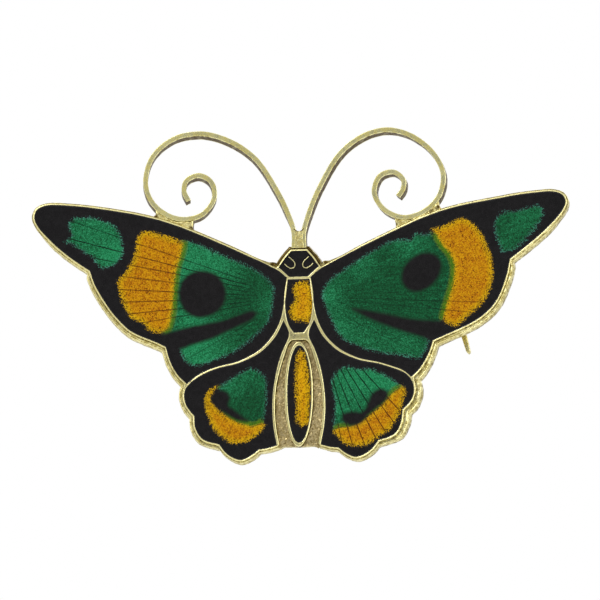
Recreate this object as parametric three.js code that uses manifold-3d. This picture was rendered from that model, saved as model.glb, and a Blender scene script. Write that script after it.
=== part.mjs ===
// A butterfly brooch in gilt silver and enamel: a struck tray whose cells hold the enamel, two scrolled
// flat-wire antennae soldered to it, and on the back a riveted pin and a rotating safety catch.
//
// Millimetres. The brooch is worn upright: +X runs along the wings, +Z points up and the wings face -Y.
// The origin is on the pin's axis, midway between the hinge and the catch.

import * as THREE from "three";
import { mergeVertices } from "three/addons/utils/BufferGeometryUtils.js";
import Module from "manifold-3d";

const wasm = await Module();
wasm.setup();

// ---- Driving dimensions ----

const TRAY_DEPTH = 1.5; // rim to back
const CELL_DEPTH = 0.9; // rim to the floor of a cell
const RIM = 0.3; // width of the rim's front edge
const FLARE_SIDE = 0.45; // how far the outer wall spreads behind the rim along the scallops
const FLARE_ENDS = 0.25; // and round the wing tips above them and the tail below them
const SCALLOPS_TOP = 4.8; // the height where the scallops begin
const SCALLOPS_FOOT = -15; // and where they end
const STANDOFF = 2.4; // pin axis to the tray's back, room for the cloth
const ENAMEL_DROP = 0.08; // rim to the enamel's surface
const GAP = 0.03; // between pieces that touch
const PER_SPAN = 3; // sides of an outline between two of its points

const RIBBON = 0.58; // antenna wire, seen from the front
const RIBBON_DEPTH = 1.25;
const RIBBON_DROP = 0.06; // rim to the wire's front
const STEM_X = 0.56; // the antennae's feet, each this far from the centre
const STEM_FOOT = 7.06;
const STEM_FORK = 9.3;
const EYE_WIRE = 0.14;
const EYE_WIRE_DROP = 0.04;
const EYE_WIRE_DEPTH = 0.5;

const HARDWARE_X = 16; // hinge and catch, each this far from the centre
const PATCH = 0.4; // thickness of the solder patches under them
const ROUND = 24; // facets of a small round

const EAR = 0.6; // thickness of a hinge ear
const EAR_R = 1.05;
const EAR_GAP = 1.24; // between the ears
const BASE_HALF = 1.5; // the bracket's base plate, half its length
const BASE = 0.55; // and its thickness
const RIVET_R = 0.4;
const RIVET_HEAD_R = 0.62;
const EYE_R = 0.9; // the pin's eye
const EYE_BORE = 0.47;
const EYE_WIDE = 1.1;
const PIN_R = 0.42;
const PIN_LONG = 35.3; // hinge axis to the point
const PIN_TAPER = [[26, PIN_R], [31, 0.3], [PIN_LONG, 0.06]]; // distance from the hinge axis, radius

const HOUSING_R = 1.45;
const HOUSING_BORE = 1.05;
const HOUSING_HALF = 1.1; // half its length
const ROLLER_R = 1;
const ROLLER_BORE = 0.52;
const SLOT = 0.98; // the way in for the pin
const COLLAR_R = 1.35; // the roller's collar, which carries the lever
const COLLAR_LONG = 0.9;
const COLLAR_CHAMFER = 0.12;
const LIP_R = 1.22; // the swaged lip that keeps the roller in its housing
const LIP_LONG = 0.22;
const END_PLAY = 0.05; // between the housing and the roller's collar and lip
const LEVER_END = 4.7; // catch axis to the lever's end
const LEVER_LEAN = 0.95; // how far the lever's end leans towards the wing tip
const LEVER_HALF = [0.36, 0.24]; // half its width at the collar and at its rounded end
const LEVER_THICK = 0.9;

// ---- Outlines of the right half, as (x, z) points that smooth curves run through ----

const HEAD_SIDE = [[0.85, 6.72], [1.65, 5.75], [2.15, 4.92]];
const HEAD_LOWER = [[2.15, 4.92], [1.0, 3.9]];
const SHOULDER = [2.42, 4.53]; // where the head's side meets the forewing's top edge
const HEAD_FLANK = [[0.85, 6.72], [1.65, 5.75], SHOULDER];
const FORE_ROOT = [1.4, 3.7];
const FORE_EDGE = [
  SHOULDER, [9, 7.82], [15.7, 10.62], [22.4, 12.1], [26.5, 12.64], [28.4, 12.68], [29.4, 12.25],
  [29.72, 11.45], [29.35, 10.5], [28.1, 9], [26.05, 7.1], [23.5, 5.18],
];
const SCALLOP_1 = [[23.5, 5.18], [22.95, 3.2], [21.5, 0.6], [19, -1.75], [14.9, -3.8]];
const SCALLOP_2 = [[14.9, -3.8], [14.3, -5.5], [13.4, -7], [12.5, -7.9]];
const LOBE_A = [[12.5, -7.9], [12.78, -9.3], [12.45, -10.5], [11.6, -11.6]];
const LOBE_B = [[11.6, -11.6], [11.5, -12.9], [10.7, -14.2], [8.85, -14.85]];
const LOBE_C = [[8.85, -14.85], [7.9, -16], [6.5, -16.65], [5.3, -16.2], [4.5, -15.55]];
const HEM = [[4.5, -15.55], [3.5, -15.42], [2.55, -15.15]];
const TAIL_CORNER = [2.15, -14.6]; // the tray's edge steps up here, under the abdomen
const HIND_ROUND = [[12.1, -7.98], [12.6, -8.6], [12.75, -9.5], [12.45, -10.5], [11.6, -11.6]];
const DIVIDER_UPPER = [
  [12.5, -7.9], [11.2, -6.9], [9, -6.05], [6.7, -5.5], [4.5, -4.35], [3, -2.75], [2.1, -0.9],
  [1.7, 1.2], FORE_ROOT,
];
const DIVIDER_LOWER = [
  [1.7, -1.3], [2.45, -2.8], [3.3, -3.85], [4.5, -4.88], [6.7, -5.88], [9, -6.4], [11, -7.2],
  [12.1, -7.98],
];
const BODY_SIDE = [
  [2.55, -15.15], [2.95, -12.8], [3.05, -10.6], [2.9, -8.6], [2.55, -6.7], [2, -4.8], [1.25, -3.1],
];
const WAIST = [[1.25, -3.1], [1.2, -2.5], [1.7, -1.3]];
const THORAX_SIDE = [[1.17, 3.45], [1.4, 1.9], [1.4, 0], [1.05, -1.6], [0.5, -2.45]];
const GROUND_SIDE = [
  [0.75, -3.42], [1.08, -3.75], [1.46, -4.75], [2.08, -6.8], [2.47, -8.5], [2.62, -10.6],
  [2.55, -12.6], [2.1, -15.5], [2.05, -16.6],
];
const ABDOMEN_Z = -9.48; // centre of the abdomen's oval
const ABDOMEN_HALF = [1.62, 5.93]; // the raised oval ring, outside
const ABDOMEN_CELL = [1.28, 5.42]; // and inside
const EYE_LINE = [[1.15, 6.1], [0.8, 5.8], [0.46, 5.36], [0.5, 4.92], [0.87, 4.78], [1.3, 5.0], [1.62, 5.3]];

// Each antenna was bent by hand, so the two differ. The left one's points are mirrored.
const ANTENNA_RIGHT = [
  [0.56, 7.06], [0.56, 8.9], [1.3, 11.5], [2.62, 14.5], [4.8, 17.9], [7.6, 19.8], [10.2, 20.22],
  [12.9, 19.3], [15.1, 17.35], [16.15, 15], [15.7, 12.55], [14.1, 10.87], [11.8, 10.2],
  [9.6, 11.15], [8.45, 13.1], [9.1, 15], [10.6, 15.4], [11.7, 14.5], [11.65, 13.4], [11.1, 12.6],
];
const ANTENNA_LEFT = [
  [0.56, 7.06], [0.56, 8.9], [1.2, 11], [2.7, 14.1], [4.95, 17.45], [7.8, 19.5], [10.9, 20.45],
  [14, 20], [16.4, 18.05], [17.25, 15.3], [16.6, 12.95], [14.9, 11.35], [13, 10.75],
  [10.9, 11.2], [9.5, 13.1], [9.85, 14.9], [11.25, 15.7], [12.65, 15.1], [12.9, 13.95], [12.38, 12.8],
];

// Solder that fills the corner between a scroll and the wing, before the wire and the tray are cut from it.
const SEAT_RIGHT = [
  [[10.75, 10.3], [11.8, 10.2], [14.1, 10.87], [15.6, 12]],
  [[15.6, 12], [15.75, 11.2], [16.6, 10.65]],
  [[16.6, 10.65], [10.2, 7.9]],
  [[10.2, 7.9], [10.9, 8.9], [10.75, 10.3]],
];
const SEAT_LEFT = [
  [[11.9, 10.8], [13, 10.75], [14.9, 11.35], [16.1, 12.3]],
  [[16.1, 12.3], [16.1, 11.4], [16.9, 10.7]],
  [[16.9, 10.7], [11.3, 8.4]],
  [[11.3, 8.4], [11.95, 9.5], [11.9, 10.8]],
];

// ---- Curves and solids ----

const mirrored = (stretch) => stretch.map(([x, z]) => [-x, z]).reverse();

const smooth = (stretch) => new THREE.CatmullRomCurve3(stretch.map(([x, z]) => new THREE.Vector3(x, 0, z)));

const anticlockwise = (loop) => (THREE.ShapeUtils.isClockWise(loop) ? loop.reverse() : loop);

// A closed outline from stretches that meet end to end at corners. Two points make a straight stretch.
function outline(stretches) {
  return anticlockwise(stretches.flatMap((stretch) => {
    const sides = stretch.length === 2 ? 1 : PER_SPAN * (stretch.length - 1);
    return smooth(stretch).getPoints(sides).slice(0, -1).map((p) => new THREE.Vector2(p.x, p.z));
  }));
}

// An outline that is the same on both sides of the middle, from the stretches of its right side.
function symmetric(rightSide) {
  const [top, foot] = [rightSide[0][0], rightSide.at(-1).at(-1)];
  return outline([
    ...rightSide, [foot, [-foot[0], foot[1]]],
    ...rightSide.map(mirrored).reverse(), [[-top[0], top[1]], top],
  ]);
}

const flipped = (loop) => loop.map((p) => new THREE.Vector2(-p.x, p.y)).reverse();

const oval = ([halfX, halfZ], z, count) =>
  new THREE.EllipseCurve(0, z, halfX, halfZ, 0, 2 * Math.PI).getPoints(count).slice(0, -1);

// The outline moved outwards by the distance at each point, or inwards by a negative one.
function offset(loop, distanceAt) {
  return loop.map((point, i) => {
    const before = point.clone().sub(loop.at(i - 1)).normalize();
    const after = loop[(i + 1) % loop.length].clone().sub(point).normalize();
    const outward = new THREE.Vector2(before.y + after.y, -before.x - after.x);
    return point.clone().addScaledVector(outward, distanceAt(point) / (1 + before.dot(after)));
  });
}

function toSolid(geometry) {
  const bare = geometry.clone();
  bare.deleteAttribute("normal");
  bare.deleteAttribute("uv");
  const merged = mergeVertices(bare, 1e-4);
  return new wasm.Manifold(new wasm.Mesh({
    numProp: 3,
    vertProperties: merged.attributes.position.array,
    triVerts: new Uint32Array(merged.index.array),
  }));
}

function toGeometry(solid) {
  const mesh = solid.getMesh();
  const geometry = new THREE.BufferGeometry();
  geometry.setAttribute("position", new THREE.BufferAttribute(mesh.vertProperties, 3));
  return geometry.setIndex(new THREE.BufferAttribute(mesh.triVerts, 1));
}

const join = (...solids) => solids.reduce((whole, solid) => whole.add(solid));
const cut = (solid, ...tools) => tools.reduce((rest, tool) => rest.subtract(tool), solid);

// A plate of the outline's shape in the XZ plane, between two places along Y.
function plate(loop, front, back) {
  const depth = back - front;
  const extruded = new THREE.ExtrudeGeometry(new THREE.Shape(loop), { depth, bevelEnabled: false });
  return toSolid(extruded.rotateX(Math.PI / 2).translate(0, back, 0));
}

// A solid through outlines of equal length, each at its own y, from the front to the back.
function lofted(sections) {
  const count = sections[0].loop.length;
  const faces = [];
  for (let s = 0; s + 1 < sections.length; s++) {
    for (let i = 0; i < count; i++) {
      const [a, b] = [s * count + i, s * count + ((i + 1) % count)];
      faces.push(a, a + count, b, b, a + count, b + count);
    }
  }
  const last = (sections.length - 1) * count;
  for (const [a, b, c] of THREE.ShapeUtils.triangulateShape(sections[0].loop, [])) {
    faces.push(a, b, c, last + a, last + c, last + b);
  }
  const positions = sections.flatMap(({ loop, y }) => loop.flatMap((p) => [p.x, y, p.y]));
  const geometry = new THREE.BufferGeometry();
  geometry.setAttribute("position", new THREE.Float32BufferAttribute(positions, 3));
  return toSolid(geometry.setIndex(faces));
}

// A solid turned round X, from a profile of [x, radius] points that starts and ends on the axis.
function turned(profile) {
  const points = profile.map(([x, radius]) => new THREE.Vector2(radius, x));
  return toSolid(new THREE.LatheGeometry(points, ROUND).rotateZ(-Math.PI / 2));
}

const barAlongX = (radius, from, to) => turned([[from, 0], [from, radius], [to, radius], [to, 0]]);

function barAlongZ(radius, from, to) {
  const bar = new THREE.CylinderGeometry(radius, radius, to - from, ROUND);
  return toSolid(bar.rotateX(Math.PI / 2).translate(0, 0, (from + to) / 2));
}

function block([x0, y0, z0], [x1, y1, z1]) {
  const box = new THREE.BoxGeometry(x1 - x0, y1 - y0, z1 - z0);
  return toSolid(box.translate((x0 + x1) / 2, (y0 + y1) / 2, (z0 + z1) / 2));
}

// A flat wire on edge along a line of points, wide across the line and deep along Y.
function ribbon(line, width, front, back) {
  const curve = smooth(line);
  const count = 4 * (line.length - 1);
  const sides = [[], []];
  for (let i = 0; i <= count; i++) {
    const [at, along] = [curve.getPoint(i / count), curve.getTangent(i / count)];
    const across = new THREE.Vector2(-along.z, along.x).multiplyScalar(width / 2);
    const centre = new THREE.Vector2(at.x, at.z);
    sides[0].push(centre.clone().add(across));
    sides[1].push(centre.clone().sub(across));
  }
  return plate([...sides[0], ...sides[1].reverse()], front, back);
}

// ---- The tray and what it holds, measured back from the rim's front edge ----

const foreCell = outline([[FORE_ROOT, SHOULDER], FORE_EDGE, SCALLOP_1, SCALLOP_2, DIVIDER_UPPER]);
const hindCell = outline([HIND_ROUND, LOBE_B, LOBE_C, HEM, BODY_SIDE, WAIST, DIVIDER_LOWER]);
const headCell = symmetric([HEAD_SIDE, HEAD_LOWER]);
const thoraxCell = symmetric([THORAX_SIDE]);
const ground = symmetric([GROUND_SIDE]);
const abdomenCell = oval(ABDOMEN_CELL, ABDOMEN_Z, 40);
const abdomenRing = oval(ABDOMEN_HALF, ABDOMEN_Z, 40);
const wingOutline = symmetric([
  HEAD_FLANK, FORE_EDGE, SCALLOP_1, SCALLOP_2, LOBE_A, LOBE_B, LOBE_C, HEM, [HEM.at(-1), TAIL_CORNER],
]);

const flareAt = ({ y: z }) => (z < SCALLOPS_TOP && z > SCALLOPS_FOOT ? FLARE_SIDE : FLARE_ENDS);

// The struck blank: a narrow rim at the front, a wall that spreads, and a plain edge at the back.
function trayBlank(extra) {
  const foot = offset(wingOutline, (point) => RIM + flareAt(point) + extra);
  return lofted([
    { loop: offset(wingOutline, () => RIM + extra), y: 0 },
    { loop: foot, y: CELL_DEPTH },
    { loop: foot, y: TRAY_DEPTH },
  ]);
}

function wingTray() {
  const cells = [foreCell, flipped(foreCell), hindCell, flipped(hindCell), headCell, thoraxCell, ground];
  const pockets = cells.map((cell) => plate(cell, -1, CELL_DEPTH));
  const ring = cut(plate(abdomenRing, 0, CELL_DEPTH + GAP), plate(abdomenCell, -1, CELL_DEPTH));
  return join(cut(trayBlank(0), ...pockets), ring);
}

const enamel = (cell) => plate(offset(cell, () => -GAP), ENAMEL_DROP, CELL_DEPTH - GAP);

const EYE_WIRE_FOOT = EYE_WIRE_DROP + EYE_WIRE_DEPTH;
const eyeLine = (mirror) => EYE_LINE.map(([x, z]) => [mirror * x, z]);
const eyeWire = (mirror) => ribbon(eyeLine(mirror), EYE_WIRE, EYE_WIRE_DROP, EYE_WIRE_FOOT);

function headEnamel() {
  const slots = [1, -1].map((mirror) => ribbon(eyeLine(mirror), EYE_WIRE + 2 * GAP, -1, EYE_WIRE_FOOT + GAP));
  return cut(enamel(headCell), ...slots);
}

// ---- The antennae and their solder ----

const RIBBON_BACK = RIBBON_DROP + RIBBON_DEPTH;
const trayTool = trayBlank(GAP);
const antennaWire = (line, extra) =>
  ribbon(line, RIBBON + 2 * extra, RIBBON_DROP - extra, RIBBON_BACK + extra);
const antenna = (line) => cut(antennaWire(line, 0), trayTool);
const solderSeat = (stretches, line) =>
  cut(plate(outline(stretches), RIBBON_DROP + 0.08, RIBBON_BACK - 0.08), antennaWire(line, GAP), trayTool);

// Solder between the feet of the two antennae, up to the fork.
function stemSolder(lines) {
  const half = STEM_X - RIBBON / 2;
  const stem = symmetric([[[half, STEM_FORK], [half, STEM_FOOT]]]);
  const wires = lines.map((line) => antennaWire(line, GAP));
  return cut(plate(stem, RIBBON_DROP + 0.05, RIBBON_BACK), trayTool, ...wires);
}

// ---- The hinge and the pin, measured from the hinge's axis ----

const TRAY_BACK = -STANDOFF;
const SEAT = TRAY_BACK + PATCH + 2 * GAP; // the undersides of the bracket and the housing

const solderPatch = (halves) => plate(oval(halves, 0, 28), TRAY_BACK + GAP, TRAY_BACK + GAP + PATCH);

function hingeBracket() {
  const outer = EAR_GAP / 2 + EAR;
  const base = block([-BASE_HALF, SEAT, -outer], [BASE_HALF, SEAT + BASE, outer]);
  const ears = [[EAR_GAP / 2, outer], [-outer, -EAR_GAP / 2]].map(([from, to]) =>
    join(block([-EAR_R, SEAT, from], [EAR_R, 0, to]), barAlongZ(EAR_R, from, to)));
  return cut(join(base, ...ears), barAlongZ(RIVET_R + 0.02, -outer - 1, outer + 1));
}

function hingeRivet() {
  const half = EAR_GAP / 2 + EAR + GAP;
  const profile = [
    [0, -half - 0.22], [0.4, -half - 0.2], [RIVET_HEAD_R, -half], [RIVET_R, -half],
    [RIVET_R, half], [RIVET_HEAD_R, half], [0.4, half + 0.2], [0, half + 0.22],
  ].map(([radius, z]) => new THREE.Vector2(radius, z));
  return toSolid(new THREE.LatheGeometry(profile, ROUND).rotateX(Math.PI / 2));
}

// The pin, with an eye for the rivet and a nose on the eye that stops it against the bracket's base.
function pinStem() {
  const half = EYE_WIDE / 2;
  const eye = barAlongZ(EYE_R, -half, half);
  const nose = block([-0.1, SEAT + BASE + GAP, -half], [0.75, 0, half]);
  const neck = block([0, -PIN_R, -half], [1.5, PIN_R, half]);
  const stem = turned([[0.6, 0], [0.6, PIN_R], ...PIN_TAPER, [PIN_LONG + 0.05, 0]]);
  return cut(join(eye, nose, neck, stem), barAlongZ(EYE_BORE, -1, 1));
}

// ---- The catch, measured from its middle. Its slots face away from the tray when it is open ----

const COLLAR_FROM = HOUSING_HALF + END_PLAY;
const COLLAR_TO = COLLAR_FROM + COLLAR_LONG;

const openSlot = (width) => block([-3, 0, -width / 2], [3, 3, width / 2]);

function catchHousing() {
  const shell = barAlongX(HOUSING_R, -HOUSING_HALF, HOUSING_HALF);
  const foot = block([-HOUSING_HALF, SEAT, -0.9], [HOUSING_HALF, -0.9, 0.9]);
  return cut(join(shell, foot), barAlongX(HOUSING_BORE, -3, 3), openSlot(SLOT + 0.16));
}

function catchRoller() {
  const lip = -HOUSING_HALF - END_PLAY;
  const body = turned([
    [lip - LIP_LONG, 0], [lip - LIP_LONG, LIP_R - 0.1], [lip, LIP_R], [lip, ROLLER_R],
    [COLLAR_FROM, ROLLER_R], [COLLAR_FROM, COLLAR_R], [COLLAR_TO - COLLAR_CHAMFER, COLLAR_R],
    [COLLAR_TO, COLLAR_R - COLLAR_CHAMFER], [COLLAR_TO, 0],
  ]);
  return cut(body, barAlongX(ROLLER_BORE, -3, 3), openSlot(SLOT));
}

// A tapered thumb lever on the collar. It hangs down, leans towards the wing tip and has a rounded end.
function catchLever() {
  const [top, shoulder] = [0.1 - COLLAR_R, LEVER_HALF[1] - LEVER_END];
  const slope = LEVER_LEAN / (top + LEVER_END);
  const edge = (z, half) => [(COLLAR_FROM + COLLAR_TO) / 2 + slope * (top - z) + half, z];
  const [halfTop, halfEnd] = LEVER_HALF;
  const side = outline([
    [edge(top, -halfTop), edge(top, halfTop)],
    [edge(top, halfTop), edge(shoulder, halfEnd)],
    [edge(shoulder, halfEnd), edge(-LEVER_END, 0), edge(shoulder, -halfEnd)],
    [edge(shoulder, -halfEnd), edge(top, -halfTop)],
  ]);
  return cut(plate(side, -LEVER_THICK / 2, LEVER_THICK / 2), barAlongX(COLLAR_R + GAP, 0, 3));
}

// ---- The assembly ----

const metal = (color, roughness) => new THREE.MeshStandardMaterial({ color, roughness, metalness: 1 });
const glass = (color) => new THREE.MeshStandardMaterial({ color, roughness: 0.12, metalness: 0 });

const gilt = metal(0xc9b877, 0.42);
const giltSatin = metal(0xc4b375, 0.55);
const giltPolished = metal(0xd4c283, 0.3);
const solder = metal(0xb9a45f, 0.6);
const greenEnamel = glass(0x1f6b45);
const amberEnamel = glass(0xc98f10);
const blackEnamel = glass(0x1a1817);

function groupOf(x, y, pieces) {
  const group = new THREE.Group();
  group.position.set(x, y, 0);
  for (const [name, solid, material] of pieces) {
    const mesh = new THREE.Mesh(toGeometry(solid), material.clone());
    mesh.name = name;
    group.add(mesh);
  }
  return group;
}

const rightLine = ANTENNA_RIGHT;
const leftLine = mirrored(ANTENNA_LEFT).reverse();

const wings = groupOf(0, -STANDOFF - TRAY_DEPTH, [
  ["wing_tray", wingTray(), gilt],
  ["enamel_forewing_right", enamel(foreCell), greenEnamel],
  ["enamel_forewing_left", enamel(flipped(foreCell)), greenEnamel],
  ["enamel_hindwing_right", enamel(hindCell), greenEnamel],
  ["enamel_hindwing_left", enamel(flipped(hindCell)), greenEnamel],
  ["enamel_head", headEnamel(), blackEnamel],
  ["enamel_thorax", enamel(thoraxCell), amberEnamel],
  ["enamel_abdomen", enamel(abdomenCell), amberEnamel],
  ["eye_wire_right", eyeWire(1), giltPolished],
  ["eye_wire_left", eyeWire(-1), giltPolished],
  ["antenna_right", antenna(rightLine), giltSatin],
  ["antenna_left", antenna(leftLine), giltSatin],
  ["solder_seat_right", solderSeat(SEAT_RIGHT, rightLine), solder],
  ["solder_seat_left", solderSeat(SEAT_LEFT.map(mirrored).reverse(), leftLine), solder],
  ["antenna_stem_solder", stemSolder([rightLine, leftLine]), solder],
]);

const hinge = groupOf(-HARDWARE_X, 0, [
  ["hinge_patch", solderPatch([2.5, 2.1]), solder],
  ["hinge_bracket", hingeBracket(), gilt],
  ["hinge_rivet", hingeRivet(), giltPolished],
  ["pin_stem", pinStem(), giltPolished],
]);

const clasp = groupOf(HARDWARE_X, 0, [
  ["catch_patch", solderPatch([2.3, 2.1]), solder],
  ["catch_housing", catchHousing(), gilt],
  ["catch_roller", catchRoller(), giltPolished],
  ["catch_lever", catchLever(), giltPolished],
]);

const brooch = new THREE.Group();
brooch.add(wings, hinge, clasp);

export default brooch;
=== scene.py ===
"""A butterfly brooch in gilt silver and enamel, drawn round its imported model.

Outlines are in millimetres, as (x, z) points seen from the front, and Blender's objects are in metres.
The wings lie in the XZ plane and face -Y. A depth is a distance behind the rim's front edge.
"""

import math

import bmesh
import bpy
import numpy as np
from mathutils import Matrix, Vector, kdtree, noise
from mathutils.geometry import delaunay_2d_cdt


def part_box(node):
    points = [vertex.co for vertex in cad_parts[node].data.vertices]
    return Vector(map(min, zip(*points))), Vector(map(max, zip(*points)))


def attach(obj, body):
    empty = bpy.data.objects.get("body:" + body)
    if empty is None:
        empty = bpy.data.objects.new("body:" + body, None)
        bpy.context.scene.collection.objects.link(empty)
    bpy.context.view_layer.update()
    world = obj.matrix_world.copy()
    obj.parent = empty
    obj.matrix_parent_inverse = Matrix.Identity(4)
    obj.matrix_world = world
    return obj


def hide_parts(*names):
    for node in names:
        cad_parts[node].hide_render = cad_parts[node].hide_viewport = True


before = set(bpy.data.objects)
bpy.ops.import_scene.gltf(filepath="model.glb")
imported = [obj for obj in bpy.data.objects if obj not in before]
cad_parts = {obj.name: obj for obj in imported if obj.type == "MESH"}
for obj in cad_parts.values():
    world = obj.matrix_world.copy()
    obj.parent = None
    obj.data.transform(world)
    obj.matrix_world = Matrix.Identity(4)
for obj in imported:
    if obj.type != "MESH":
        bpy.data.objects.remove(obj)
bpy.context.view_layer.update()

MM = 0.001

noise.seed_set(5)  # noise_vector takes its offsets from the clock unless they are seeded

# ---- Driving dimensions ----

RIM_ROUND = 0.068  # rounding of the rim's and the cell walls' edges, in depth
RIM_CROWN = 1.45  # and this much wider than deep, so that they are slightly domed
RIM_TRIM = 0.05  # how much the rim's outside is dressed back
CELL_TRIM = 0.09  # and the inside of each cell's wall
RING_TRIM = 0.03  # and both sides of the raised oval ring
RING_HOLE = (0.05, 0.04)  # the oval cell sits this far to the right, and is this much wider all round
HEAD_TRIM = 0.12  # the rim is thinner round the head
HEAD_WEB = 0.25  # and the flange broader
CELL_DEPTH = 0.9  # the cells' floors
END_TRIM = 0.13  # how much the flange is dressed back above and below the scallops
FLARE_SIDE = 0.45  # the flange's width along the scallops
FLARE_ENDS = 0.25  # and above and below them
BROAD = 0.3  # the flange is this much broader beside the right hindwing
BROAD_PLACE = (12.6, -10.8)
BROAD_REACH = 4.2
SCALLOPS_TOP = 4.2  # the height where the broad flange ends
SCALLOPS_FOOT = -15.0  # and where it begins
TIPS_FROM = 22.0  # further out than this, it runs on up the wing's tip
TIPS_TOP = 8.8  # to this height
WING_REACH = 25.0  # of the outlines with material inside, only the rim's outside reaches this far
GROUND_HALF = 2.7  # the ground's faces are within this of the middle
GROUND_HEIGHTS = (-16, -3.3)  # and between these heights
GROUND_DEPTH = 0.42  # the stippled ground round the abdomen
STIPPLE = 0.07  # height of its grain
ENAMEL_DEPTH = 0.08
ENAMEL_GAP = 0.03  # under the enamel
FINE = 0.13  # spacing of points along an outline
NEARLY_SAME = 0.06  # points of the tray's back that are nearer than this are one corner
PAINT_GRID = 0.22  # spacing of points on a forewing's enamel
PAINT_SHIFT = 0.12  # how far to the right the whole painting sits in its cells
FAN_TURN = 12  # millimetres of stroke pattern for each radian of the fan
FAR_OUT = -9.0  # stands for the distance inside a patch, where there is no patch
LEAN = {"right": (0.06, -0.09), "left": (-0.16, -0.13)}  # how far the wires lean, per millimetre of depth
LEAN_FROM = 8.6  # their feet stand straight
LEAN_FADE = 2.5  # and the lean grows in over this height
# Dark pits in the solder seats, each a place and a reach.
SEAT_PITS = [(15.6, 11.2, 0.3), (-16.1, 11.2, 0.3), (-12.0, 9.7, 0.3), (10.8, 9.4, 0.25), (14.8, 10.9, 0.22)]
STEM_SPREAD = 2.2  # the solder between the antennae's feet is this many times as wide as its solid

RIM_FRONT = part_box("wing_tray")[0].y / MM
TRAY_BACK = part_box("wing_tray")[1].y / MM


# ---- Outlines ----


def cross(a, b):
    return a[..., 0] * b[..., 1] - a[..., 1] * b[..., 0]


def unit(vectors):
    return vectors / np.maximum(np.linalg.norm(vectors, axis=-1, keepdims=True), 1e-9)


class Outline:
    """A closed line with the material on its left. Corners are the numbers of its sharp points."""

    def __init__(self, points, corners=()):
        self.points = np.asarray(points, float)
        self.corners = list(corners)

    def area(self):
        return 0.5 * cross(self.points, np.roll(self.points, -1, 0)).sum()

    def reversed(self):
        last = len(self.points) - 1
        return Outline(self.points[::-1], sorted(last - c for c in self.corners))

    def moved(self, distance):
        """The points moved into the material by the distance, or out of it by a negative one."""
        points = self.points
        count = len(points)
        distance = np.broadcast_to(np.asarray(distance, float), (count,))
        before = unit(points - np.roll(points, 1, 0))
        after = unit(np.roll(points, -1, 0) - points)
        both = before + after
        left = np.stack([-both[:, 1], both[:, 0]], 1)
        mitre = left / np.maximum(1 + (before * after).sum(1), 0.15)[:, None]
        shifted = points + distance[:, None] * mitre
        for corner in self.corners:
            if cross(before[corner], after[corner]) * distance[corner] <= 0:
                continue
            along = unit(both[corner])
            for step in (-1, 1):
                for k in range(1, 30):
                    i = (corner + step * k) % count
                    if step * np.dot(shifted[i] - points[corner], along) >= 0:
                        break
                    shifted[i] = shifted[corner]
        return shifted


def span(p0, p1, p2, p3, steps):
    """Points on a centripetal Catmull-Rom curve, from p1 up to but not including p2."""
    t0, t1, t2 = (max(np.linalg.norm(b - a), 1e-6) ** 0.5 for a, b in ((p0, p1), (p1, p2), (p2, p3)))
    m1 = t1 * ((p1 - p0) / t0 - (p2 - p0) / (t0 + t1) + (p2 - p1) / t1)
    m2 = t1 * ((p2 - p1) / t1 - (p3 - p1) / (t1 + t2) + (p3 - p2) / t2)
    t = np.arange(steps)[:, None] / steps
    leaving = (2 * t**3 - 3 * t**2 + 1) * p1 + (t**3 - 2 * t**2 + t) * m1
    return leaving + (3 * t**2 - 2 * t**3) * p2 + (t**3 - t**2) * m2


def smoothed(points, spacing=FINE, corner=32):
    """An outline on smooth curves through the points. A turn of more degrees than corner stays sharp."""
    points = np.asarray(points, float)
    points = points[np.linalg.norm(points - np.roll(points, 1, 0), axis=1) > 0.02]
    count = len(points)
    before = points - np.roll(points, 1, 0)
    after = np.roll(points, -1, 0) - points
    turn = np.degrees(np.arctan2(cross(before, after), (before * after).sum(1)))
    sharp = np.abs(turn) > corner
    fine, corners = [], []
    for i in range(count):
        j = (i + 1) % count
        p0 = 2 * points[i] - points[j] if sharp[i] else points[i - 1]
        p3 = 2 * points[j] - points[i] if sharp[j] else points[(i + 2) % count]
        if sharp[i]:
            corners.append(len(fine))
        steps = max(1, math.ceil(np.linalg.norm(points[j] - points[i]) / spacing))
        fine.extend(span(p0, points[i], points[j], p3, steps))
    return Outline(fine, corners)


# Where hand finishing has moved the even outline: the place, the shift there and its reach.
HAND_SHIFTS = [
    ((20.8, 0.0), (0.4, -0.3), 3.5),
    ((-21.3, 1.6), (0.34, 0.25), 3.6),
    ((-16.0, -3.3), (0.08, 0.18), 2.2),
    ((11.5, -12.6), (-0.18, 0.08), 1.5),
    ((11.8, -7.6), (0.1, 0.14), 1.2),
    ((27.5, 12.9), (0.0, -0.16), 3.5),
    ((22.0, 12.2), (0.0, -0.14), 3.5),
]


def hand_made(outline, amount=0.02, per_mm=0.55):
    """The outline with the slight waviness of hand work."""
    for place, shift, reach in HAND_SHIFTS:
        near = np.exp(-((outline.points - place) ** 2).sum(1) / reach**2)
        outline.points += near[:, None] * shift
    for point in outline.points:
        shift = noise.noise_vector(Vector((point[0], 0, point[1])) * per_mm)
        point += amount * np.array([shift.x, shift.z])
    return outline


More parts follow.
